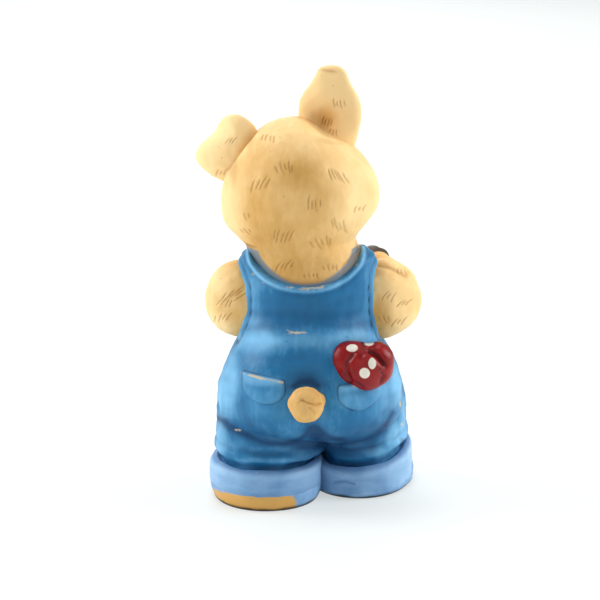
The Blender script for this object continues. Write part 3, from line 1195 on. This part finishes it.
class PIG_OT_body(bpy.types.Operator):
    """Model the bare torso that shows at the neck and chest"""
    bl_idname = "pig.body"
    bl_label = "Body"

    def execute(self, context):
        rows = trunk_rows(-pig.cloth)
        rows[1:-1, 1:4] -= 3 * smooth_step(31, 27, rows[1:-1, :1])
        points = level_surface(rows, *GRIDS["body"])
        neckline, armhole = hem_distances(points)
        points = points + outward(points) * 0.08 * wobble(points, 8, 30)[..., None]
        lining = collar_paint(points, neckline)
        wash = 0.65 * smooth_step(-1.6, 0.2, np.minimum(neckline, armhole)) * (1 - 0.7 * lining)
        Clay("clay_body").add(points, wash=wash, second=lining, tone=0.1).piece(
            "brushed_torso", "flesh", "body")
        return {"FINISHED"}


class PIG_OT_overalls(bpy.types.Operator):
    """Model the overalls with their hems, seat and folds"""
    bl_idname = "pig.overalls"
    bl_label = "Overalls"

    def execute(self, context):
        points = level_surface(trunk_rows(), *GRIDS["overalls"])
        points[..., 0] += 0.5 * smooth_step(42, 48, points[..., 2])
        cloth, relief = Skin(points), seat_relief(points)
        marks = cloth_marks(cloth, relief)
        # Beyond the hems the cloth sinks under the skin.
        sunk = smooth_step(0.5, -0.35, np.minimum(*hem_distances(points)))
        points = cloth.raised(relief * (1 - sunk) - (pig.cloth + 0.5) * sunk)
        Clay("clay_overalls").add(points, **marks).piece("brushed_denim", "denim_blue", "overalls")
        return {"FINISHED"}


class PIG_OT_pockets(bpy.types.Operator):
    """Lay the two back pockets and the bib pocket on the overalls"""
    bl_idname = "pig.pockets"
    bl_label = "Pockets"

    def execute(self, context):
        for name, (place, side, half, deep, slope, rub) in POCKETS.items():
            def distance(u, v):
                """Straight at the mouth, and below the middle half an ellipse."""
                below = np.clip((v / deep - 0.42) / 0.58, 0, None)
                return -soft_max(-(1 - np.hypot(u / half, below)) * half * 0.8, -v, 0.6)

            u, v, under = patch_grid(distance, (0, deep * 0.45), 9, *GRIDS["pocket"])
            inside = distance(u, v)
            x, z = place[0] - side * u, place[1] - v - slope * side * u
            flat, normal = trunk_points(x, z, side), trunk_normals(x, z, side)
            mouth = hump(v, 0.7, 0.36) * smooth_step(half, half * 0.86, np.abs(u))
            raised = pocket_edge(inside, pig.pocket_thickness, 0.55, 0.35) + 0.2 * mouth + seat_relief(flat)
            pad = Skin(flat + normal * np.where(under, -0.6, raised)[..., None], normal)
            marks = cloth_marks(pad, np.zeros_like(raised))
            dashes = stitches(np.arctan2(v - deep * 0.4, u) * 4.2, 1, 0.6)
            seam = hump(inside, 0.85, 0.15) * smooth_step(0.8, 1.2, v) * dashes
            worn = mouth * (0.62 + 0.4 * wobble(pad.points, 2.5, 41)) * rub
            wash = (0.75 * hump(inside, -0.02, 0.24) + marks["wash"] * (side > 0)
                    + 0.3 * hump(v, 1.5, 0.4) * mouth)
            Clay("clay_" + name).add(
                pad.points, wash=np.clip(wash, 0, 0.9), worn=np.clip(worn, 0, 1), ink=0.4 * seam * (side < 0),
                tone=marks["tone"] * 0.8 + 0.15 + 0.35 * hump(v, 0.9, 0.8),
            ).piece("brushed_denim", "denim_blue", name)
        return {"FINISHED"}


class PIG_OT_straps(bpy.types.Operator):
    """Lay the strap ends on the bib, each with its button"""
    bl_idname = "pig.straps"
    bl_label = "Straps and buttons"

    def execute(self, context):
        aside, rise = STRAP_TOP_X - STRAP_FOOT[0], pig.trunk_height - STRAP_STOP - STRAP_FOOT[1]
        run = math.hypot(aside, rise)

        def distance(u, v):
            """The distance inside a straight band with rounded corners."""
            return -soft_max(soft_max(u - STRAP_HALF, -u - STRAP_HALF, 0.1), -np.minimum(v, run - v), 0.5)

        u, v, under = patch_grid(distance, (0, run / 2), run, *GRIDS["strap"])
        inside = distance(u, v)
        for side, name in ((1, "left"), (-1, "right")):
            x, z = side * (STRAP_FOOT[0] + aside * v / run + u), STRAP_FOOT[1] + rise * v / run
            flat, normal = trunk_points(x, z, -1), trunk_normals(x, z, -1)
            raised = pocket_edge(inside, pig.strap_thickness, 0.45, 0.4) + 0.5 * seat_relief(flat)
            points = flat + normal * np.where(under, -0.8, raised)[..., None]
            ink = 0.5 * hump(inside, 0.45, 0.14) * stitches(v, 1.3, 0.55)
            Clay("clay_" + name + "_strap").add(
                points, ink=ink, worn=0.5 * hump(inside, 0.12, 0.15), tone=0.25,
            ).piece("brushed_denim", "denim_blue", name + "_strap")
            self.button(side, name)
        return {"FINISHED"}

    def button(self, side, name):
        """A domed button: a flattened ellipsoid with a raised rim and two thread holes."""
        x, z, radius = side * BUTTON_SPOT[0], BUTTON_SPOT[1], pig.button_radius
        middle = trunk_points(np.array([x]), np.array([z]), -1)[0] - (0, 0.55, 0)
        dome = bead(middle, (radius, 0.95, radius), "button")
        beside, above, front = dome[..., 0] - x, dome[..., 2] - z, dome[..., 1] < middle[1]
        far = np.hypot(beside, above)
        holes = front * sum(hump(np.hypot(beside - s * 0.33, above), 0, 0.17) for s in (-1, 1))
        dome[..., 1] += 0.25 * holes - 0.14 * hump(far, radius * 0.78, 0.16) * front
        wash = np.clip(0.9 * holes + 0.5 * hump(far, radius, 0.2), 0, 0.9)
        Clay("clay_" + name + "_button").add(dome, wash=wash).piece(
            "brushed_brass", "button", name + "_button")


class PIG_OT_arms(bpy.types.Operator):
    """Model both arms and their hooves"""
    bl_idname = "pig.arms"
    bl_label = "Arms"

    def execute(self, context):
        radii = (pig.shoulder_width, pig.shoulder_depth, pig.shoulder_rise)
        for name, (shoulder, elbow, wrist, table) in ARMS.items():
            shoulder, elbow, wrist = np.array(shoulder), np.array(elbow), np.array(wrist)
            ahead = (wrist - elbow) / np.linalg.norm(wrist - elbow)
            side = int(np.sign(shoulder[0]))

            def field(p):
                """An egg for the shoulder, melted into a limb for the forearm."""
                fore = limb(p, elbow, wrist - 1.2 * ahead, pig.elbow_radius, pig.wrist_radius)
                return melt(egg(p, shoulder, radii), fore, 1.6)

            middle = (shoulder + elbow) / 2
            skin = Skin(star_surface(field, middle, wrist - middle, 24, *GRIDS["arm"]))
            groups = [(y, -z, *ARM_HATCH, lean) for y, z, lean in ARM_SIDE_HATCHES]
            outer = side * skin.normal[..., 0] > 0.3
            around = hatching(skin.y, -skin.z, groups, 1.0) * (1 - skin.seen) * outer
            marks = np.maximum(skin.painted(hatching, table), around)
            # The raised forearm shows above the shoulder as a roll with a crease under it.
            raised = name == "right"
            relief = (uneven(skin.points, (0.28, 9, 50 + side), (0.06, 2.5, 52))
                      - 0.35 * raised * skin.line(ARM_CREASE, 0.5) - pig.stroke_depth * marks)
            wash = 0.4 * marks + 0.45 * raised * skin.line(ARM_CREASE, 0.45)
            points = skin.raised(relief)
            tone = (0.7 - 0.55 * hump(np.abs(points[..., 0]), 14.0, 2.6) * skin.seen
                    + 0.2 * wobble(points, 9, 55))
            Clay(name + "_clay_arm").add(points, wash=wash, tone=tone).piece(
                "brushed_flesh", "flesh", name + "_arm")
            self.hand_hoof(name, ahead, wrist)
        return {"FINISHED"}

    def hand_hoof(self, name, ahead, wrist):
        """A rounded hoof with its cleft: a short limb less a groove across its end."""
        radius, reach = pig.wrist_radius, pig.hoof_length
        start, end = wrist + ahead, wrist + ahead * (reach - radius * 0.5)

        def field(p):
            """A short limb that narrows a little."""
            return limb(p, start, end, radius * 0.98, radius * 0.8)

        points = star_surface(field, (start + end) / 2, ahead, 8, *GRIDS["hand_hoof"])
        aside = np.cross(ahead, (0, 0, 1))
        off = (points - wrist) @ np.cross(aside / np.linalg.norm(aside), ahead)
        cleft = hump(off, 0, 0.34) * smooth_step(reach * 0.35, reach * 0.8, (points - wrist) @ ahead)
        points = points + outward(points) * (-0.9 * cleft + 0.05 * wobble(points, 2.5, 61))[..., None]
        Clay(name + "_clay_hand_hoof").add(points, wash=0.8 * cleft, tone=0.2).piece(
            "brushed_hoof", "hoof", name + "_hand_hoof")


def leg_rows(half_width, half_length, rows):
    """Rings of a leg from rows of height, growth and forward reach, closed at both ends."""
    rings = [(height, half_width + grow, half_length + grow, half_length + grow + reach, 0)
             for height, grow, reach in rows]
    return np.array([(rings[0][0], 0, 0, 0, 0)] + rings + [(rings[-1][0], 0, 0, 0, 0)], float)


def heel_lean(points, place, turn, lean):
    """How far a leaning hem rises: the distance in front of the leg's middle times the lean's
    tangent."""
    turned = math.radians(turn)
    behind = (points[..., 1] - place[1]) * math.cos(turned) - (points[..., 0] - place[0]) * math.sin(turned)
    return -behind * math.tan(math.radians(lean))


class PIG_OT_legs(bpy.types.Operator):
    """Model the trouser legs and their turn-ups"""
    bl_idname = "pig.legs"
    bl_label = "Trouser legs and turn-ups"

    def execute(self, context):
        for name, (place, half_width, half_length, turn, sole, lean) in LEGS.items():
            self.trouser(name, place, half_width, half_length, turn, lean)
            self.turn_up(name, place, half_width, half_length, turn, sole, lean)
        return {"FINISHED"}

    def trouser(self, name, place, half_width, half_length, turn, lean):
        """A leg with soft folds above the turn-up, let out to meet the other leg under the seat."""
        rows = ((2.0, -0.5, 0), (pig.cuff_top, -0.25, 0), (11.5, 0.5, 0), (pig.leg_top, -0.5, 0))
        leg = Skin(level_surface(leg_rows(half_width, half_length, rows), *GRIDS["leg"], place, turn))
        above = leg.z - pig.cuff_top - heel_lean(leg.points, place, turn, lean)
        folds = (0.35 * hump(above, 2.2 + 0.5 * wobble(leg.points, 9, 70), 0.8) - 0.25 * hump(above, 0.6, 0.6)
                 - 0.2 * hump(above, 3.9 + 0.4 * wobble(leg.points, 8, 71), 0.6)
                 + uneven(leg.points, (0.3, 7, 72), (0.08, 2.6, 73))
                 + 1.5 * smooth_step(5, 2, np.abs(leg.x + 1.4)) * smooth_step(8.5, 11, leg.z))
        inner = smooth_step(6.0, 1.5, np.abs(leg.x + 0.8)) * smooth_step(7, 10, leg.z)
        wash = (1.3 * np.clip(soften(folds, 16) - folds, 0, 1) + 0.5 * inner
                + leg.painted(strokes, SEAT_STROKES) + 0.45 * hump(above, 0.2, 0.45))
        points = leg.raised(folds)
        tone = leg.painted(blots, LEG_TONE_BLOTS) + 0.2 * wobble(points, 7, 75) + 0.25 * (1 - leg.seen)
        Clay(name + "_clay_leg").add(
            points, wash=np.clip(wash, 0, 0.9), worn=leg.painted(blots, LEG_WORN_MARKS),
            tone=np.clip(tone, -1, 1),
        ).piece("brushed_denim", "denim_blue", name + "_leg")

    def turn_up(self, name, place, half_width, half_length, turn, sole, lean):
        """A broad ring with a rolled upper edge, which leans towards the heel."""
        top, bulge, roll = pig.cuff_top, pig.cuff_bulge, pig.cuff_roll
        rows = ((sole - 0.25, bulge - 0.2, 0), (sole + 0.5, bulge, 0), (top - roll, bulge, 0),
                (top - roll * 0.3, bulge - roll * 0.35, 0), (top + 0.1, bulge - roll, 0),
                (top - 0.4, bulge - roll - 0.8, 0))
        points = level_surface(leg_rows(half_width, half_length, rows), *GRIDS["cuff"], place, turn)
        rise = heel_lean(points, place, turn, lean)
        points[..., 2] += rise * smooth_step(sole + 1, top - 1.5, points[..., 2])
        cuff = Skin(points)
        z = cuff.z - rise
        scratch = cuff.line(CUFF_SCRATCH, 0.28)
        points = cuff.raised(uneven(points, (0.16, 8, 80), (0.05, 2.4, 81)) - 0.2 * scratch)
        wash = (0.45 * scratch + 0.5 * hump(z, top - 0.1, 0.35)
                + 0.3 * smooth_step(4.0, 0.5, np.abs(cuff.x + 0.6))
                + 0.4 * smooth_step(sole + 1.6, sole, z) * (0.4 + 0.3 * wobble(points, 6, 82)))
        tone = 0.15 * wobble(points, 6, 83) + 0.25 * hump(z, top - 1, 0.8) + 0.6 * cuff.normal[..., 0] ** 2
        Clay(name + "_clay_cuff").add(
            points, wash=np.clip(wash, 0, 0.9), tone=tone, worn=0.3 * hump(z, top - roll * 0.2, 0.3),
        ).piece("brushed_turn_up", "turn_up_blue", name + "_cuff")


class PIG_OT_feet(bpy.types.Operator):
    """Model the feet with their painted heels, and the toes"""
    bl_idname = "pig.feet"
    bl_label = "Feet and toes"

    def execute(self, context):
        bulge, edge, top, reach = pig.cuff_bulge, pig.foot_edge, pig.foot_top, pig.foot_reach
        for name, (place, half_width, half_length, turn, sole, _) in LEGS.items():
            rows = leg_rows(half_width + bulge, half_length + bulge, (
                (0.0, -edge, reach * 0.8 + 0.1), (sole * 0.35, -edge * 0.3, reach * 0.95),
                (sole * 0.9, 0, reach), (top * 0.75, -edge * 0.5, reach * 0.85),
                (top, -edge * 1.5, reach * 0.4), (top + 0.5, -edge * 3.5, 0)))
            foot = Skin(level_surface(rows, *GRIDS["foot"], place, turn))
            relief = uneven(foot.points, (0.13, 8, 80), (0.04, 2.4, 91)) * smooth_step(0.0, 0.8, foot.z)
            points = foot.raised(relief)
            heel = (points[..., 1] - place[1]) / half_length + 0.1 * wobble(points, 7, 93)
            covered = smooth_step(-0.58, -0.5, heel)
            if name == "left":
                end, corner, edge_line = HEEL_PATCH
                roof = np.interp(foot.across, *np.array(edge_line).T) + corner
                beyond, above = foot.across - (end - corner), roof - foot.down
                over = np.where(beyond > 0, np.hypot(beyond, above), np.maximum(above, 0))
                covered = covered * (1 - smooth_step(corner + 0.7, corner - 0.7, over))
            line = smooth_step(1.0, 0.35, foot.z + 0.2 * wobble(points, 5, 94))
            tone = 0.1 + 0.15 * wobble(points, 6, 83)
            Clay(name + "_clay_foot").add(points, second=1 - covered, ink=line, tone=tone).piece(
                "brushed_foot", "flesh", name + "_foot")
            self.toes(name, place, half_length, turn)
        return {"FINISHED"}

    def toes(self, name, place, half_length, turn):
        """Two hooves: ovals stacked to a blunt tip, with a flat underside."""
        wide, deep, tall = pig.toe_width, pig.toe_length, pig.toe_height
        forward = half_length + pig.cuff_bulge + pig.foot_reach - deep * 0.35
        cosine, sine = math.cos(math.radians(turn)), math.sin(math.radians(turn))
        pair = Clay(name + "_clay_toes")
        for side in (-1, 1):
            aside = side * (wide + 0.3)
            spot = (place[0] + aside * cosine + forward * sine, place[1] + aside * sine - forward * cosine)
            rows = np.array(TOE_SHARES) * (tall, wide, deep, deep, 1)
            points = level_surface(rows, *GRIDS["toe"], spot, turn)
            relief = 0.06 * wobble(points, 3, 95) * smooth_step(0.0, 0.8, points[..., 2])
            points = points + outward(points) * relief[..., None]
            pair.add(points, wash=0.5 * smooth_step(0.7, 0.1, points[..., 2]), tone=0.15)
        pair.piece("brushed_hoof", "hoof", name + "_toes")


class PIG_OT_tail(bpy.types.Operator):
    """Roll the tail into a tight curl"""
    bl_idname = "pig.tail"
    bl_label = "Tail"

    def execute(self, context):
        radius, (x0, z0), base = pig.tail_thickness / 2, TAIL_SPOT, seat_depth(*TAIL_SPOT)
        # The last whorl lies as a round cake over the first, whose two sides stand out behind it.
        whorl = pig.tail_curl + 0.68 * radius

        def field(p):
            """The cake melted into its two side bumps and its foot."""
            total = egg(p, (x0, base + 1.9, z0), (whorl, 1.36 * radius, whorl * 1.07))
            for side, drop in ((1, -0.1), (-1, 0.35)):
                spot = (x0 + side * (whorl - 0.8), base + 0.6, z0 + drop)
                total = melt(total, egg(p, spot, (radius * 0.62, radius * 0.66, radius * 0.9)), 0.2)
            return melt(total, egg(p, (x0, base, z0), (whorl * 0.8, 2.0, whorl * 0.8)), 0.2)

        skin = Skin(star_surface(field, np.array([x0, base + 1.2, z0]), (0, 1, 0), 9, *GRIDS["tail"]))
        deep, groove = skin.creases(TAIL_CREASES, lambda depth: min(1, 1.6 * depth))
        points = skin.raised(uneven(skin.points, (0.12, 4, 100), (0.03, 1.6, 101)) - deep)
        wash = 0.5 * smooth_step(1.0, 0.0, points[..., 1] - base) + 0.55 * groove + 0.05
        Clay("clay_tail").add(points, wash=wash).piece("brushed_flesh", "flesh", "tail")
        return {"FINISHED"}


class PIG_OT_kerchief(bpy.types.Operator):
    """Bunch the dotted kerchief in the right back pocket"""
    bl_idname = "pig.kerchief"
    bl_label = "Kerchief"

    def execute(self, context):
        (x0, z0), base = KERCHIEF_SPOT, seat_depth(*KERCHIEF_SPOT)
        scale = np.array([pig.kerchief_width, pig.kerchief_reach, pig.kerchief_rise])

        def field(p):
            """The lobes melted into one another."""
            lobes = [egg(p, (x0, base, z0) + scale * (x, out, z), scale * (a, b, c))
                     for x, z, out, a, b, c in KERCHIEF_LOBES]
            return functools.reduce(lambda total, lobe: melt(total, lobe, 0.9), lobes)

        cloth = Skin(star_surface(
            field, np.array([x0 - 0.3, base + 0.4, z0]), (0, 1, 0), 14, *GRIDS["kerchief"]))
        deep, wash = cloth.creases(KERCHIEF_FOLDS, lambda depth: min(0.8, depth + 0.1))
        dots = 0
        for x, y, half, tall in KERCHIEF_DOTS:
            far = np.hypot((cloth.across - x) / half, (cloth.down - y) / tall)
            dots = np.maximum(dots, smooth_step(1.12, 0.92, far) * cloth.seen)
        for x, z in SIDE_DOTS:
            far = np.hypot(cloth.x - x, cloth.z - z) / SIDE_DOT_RADIUS
            dots = np.maximum(dots, smooth_step(1.1, 0.9, far) * (1 - cloth.seen))
        relief = (0.12 * wobble(cloth.points, 4, 110) - deep + 0.4 * cloth.line(KERCHIEF_PLEAT, 0.5)
                  + 0.1 * dots)
        points = cloth.raised(relief)
        wash = wash + 0.6 * smooth_step(2.0, 0.2, points[..., 1] - base)
        Clay("clay_kerchief").add(
            points, wash=np.clip(wash, 0, 0.95), second=dots, tone=0.15 * wobble(points, 4, 115),
        ).piece("brushed_red", "kerchief_red", "kerchief")
        return {"FINISHED"}


class PIG_OT_stage(bpy.types.Operator):
    """Set the table, the lamps and the camera"""
    bl_idname = "pig.stage"
    bl_label = "Stage"

    def execute(self, context):
        self.floor()
        self.world()
        aim, back = Vector(to_row(PHOTO_AIM)), Vector(PHOTO_BACK)
        for name, (place, width, power) in LAMPS.items():
            lamp = bpy.data.lights.new(name, "AREA")
            lamp.shape, lamp.size, lamp.energy = "DISK", width, power
            holder = bpy.data.objects.new(name, lamp)
            holder.location = aim + Vector(place)
            holder.rotation_euler = (-Vector(place)).to_track_quat("-Z", "Y").to_euler()
            context.scene.collection.objects.link(holder)
        lens = bpy.data.cameras.new("photo_camera")
        lens.lens, lens.sensor_width = PHOTO_LENS, PHOTO_SENSOR
        camera = bpy.data.objects.new("photo_camera", lens)
        camera.location = aim + back * PHOTO_DISTANCE * MM
        camera.rotation_mode = "QUATERNION"
        camera.rotation_quaternion = (-back).to_track_quat("-Z", "Y")
        context.scene.collection.objects.link(camera)
        context.scene.camera = camera
        context.scene.view_settings.view_transform = "Standard"
        return {"FINISHED"}

    def floor(self):
        """A wide pale table top. For the camera it glows a little, so that it stays near white
        and keeps the shadow."""
        mesh = bpy.data.meshes.new("table_top")
        corners = [(x * TABLE_HALF, y * TABLE_HALF, 0) for x, y in ((-1, -1), (1, -1), (1, 1), (-1, 1))]
        mesh.from_pydata(corners, [], [(0, 1, 2, 3)])
        material = bpy.data.materials.new("table_paint")
        tree = Tree(material)
        matt = tree.feed(tree.nodes["Principled BSDF"], {
            "Base Color": colour("floor"), "Roughness": 0.7, "Specular IOR Level": 0.2})
        glow = tree.node("ShaderNodeEmission", {}, {"Color": colour("floor"), "Strength": 1.0})
        rays = [tree.node("ShaderNodeLightPath", {}, out=kind + " Ray") for kind in (
            "Is Camera", "Is Glossy", "Is Transmission")]
        seen = (rays[0] + rays[1] + rays[2]).clamped()
        mixed = tree.node("ShaderNodeMixShader", {}, (seen * TABLE_GLOW, matt, glow))
        tree.feed(tree.nodes["Material Output"], {"Surface": mixed})
        mesh.materials.append(material)
        table = bpy.data.objects.new("table_top", mesh)
        bpy.context.scene.collection.objects.link(table)

    def world(self):
        """White behind everything, and an even soft light on the object."""
        world = bpy.data.worlds.new("studio")
        bpy.context.scene.world = world
        tree = Tree(world)
        shown = tree.feed(tree.nodes["Background"], {"Color": SHOWN_WORLD, "Strength": 1.0})
        even = tree.node("ShaderNodeBackground", {}, {"Color": EVEN_WORLD, "Strength": EVEN_STRENGTH})
        camera = tree.node("ShaderNodeLightPath", {}, out="Is Camera Ray")
        mixed = tree.node("ShaderNodeMixShader", {}, (camera, even, shown))
        tree.feed(tree.nodes["World Output"], {"Surface": mixed})


class PIG_PT_sidebar(bpy.types.Panel):
    """The steps of the build, in order"""
    bl_label = "Clay pig"
    bl_idname = "PIG_PT_sidebar"
    bl_space_type = "VIEW_3D"
    bl_region_type = "UI"
    bl_category = "Clay pig"

    def draw(self, context):
        """A button for each step, then the sizes and the paints."""
        for step in STEPS:
            self.layout.operator(step.bl_idname)
        for group in (context.scene.pig_sizes, context.scene.pig_paints):
            box = self.layout.box()
            for name in type(group).__annotations__:
                box.prop(group, name)


STEPS = (
    PIG_OT_head, PIG_OT_snout, PIG_OT_eyes, PIG_OT_ears, PIG_OT_body, PIG_OT_overalls, PIG_OT_pockets,
    PIG_OT_straps, PIG_OT_arms, PIG_OT_legs, PIG_OT_feet, PIG_OT_tail, PIG_OT_kerchief, PIG_OT_stage,
)
CLASSES = (PIG_PG_sizes, PIG_PG_paints) + STEPS + (PIG_PT_sidebar,)


def register():
    """Makes the classes known and hangs the sizes and the paints on the scene."""
    for part in CLASSES:
        bpy.utils.register_class(part)
    bpy.types.Scene.pig_sizes = bpy.props.PointerProperty(type=PIG_PG_sizes)
    bpy.types.Scene.pig_paints = bpy.props.PointerProperty(type=PIG_PG_paints)


def unregister():
    """Takes back what register() did, the last first."""
    del bpy.types.Scene.pig_sizes
    del bpy.types.Scene.pig_paints
    for part in reversed(CLASSES):
        bpy.utils.unregister_class(part)


def main():
    """Builds every piece and the stage."""
    register()
    for step in STEPS:
        group, name = step.bl_idname.split(".")
        getattr(getattr(bpy.ops, group), name)()


if __name__ == "__main__":
    main()
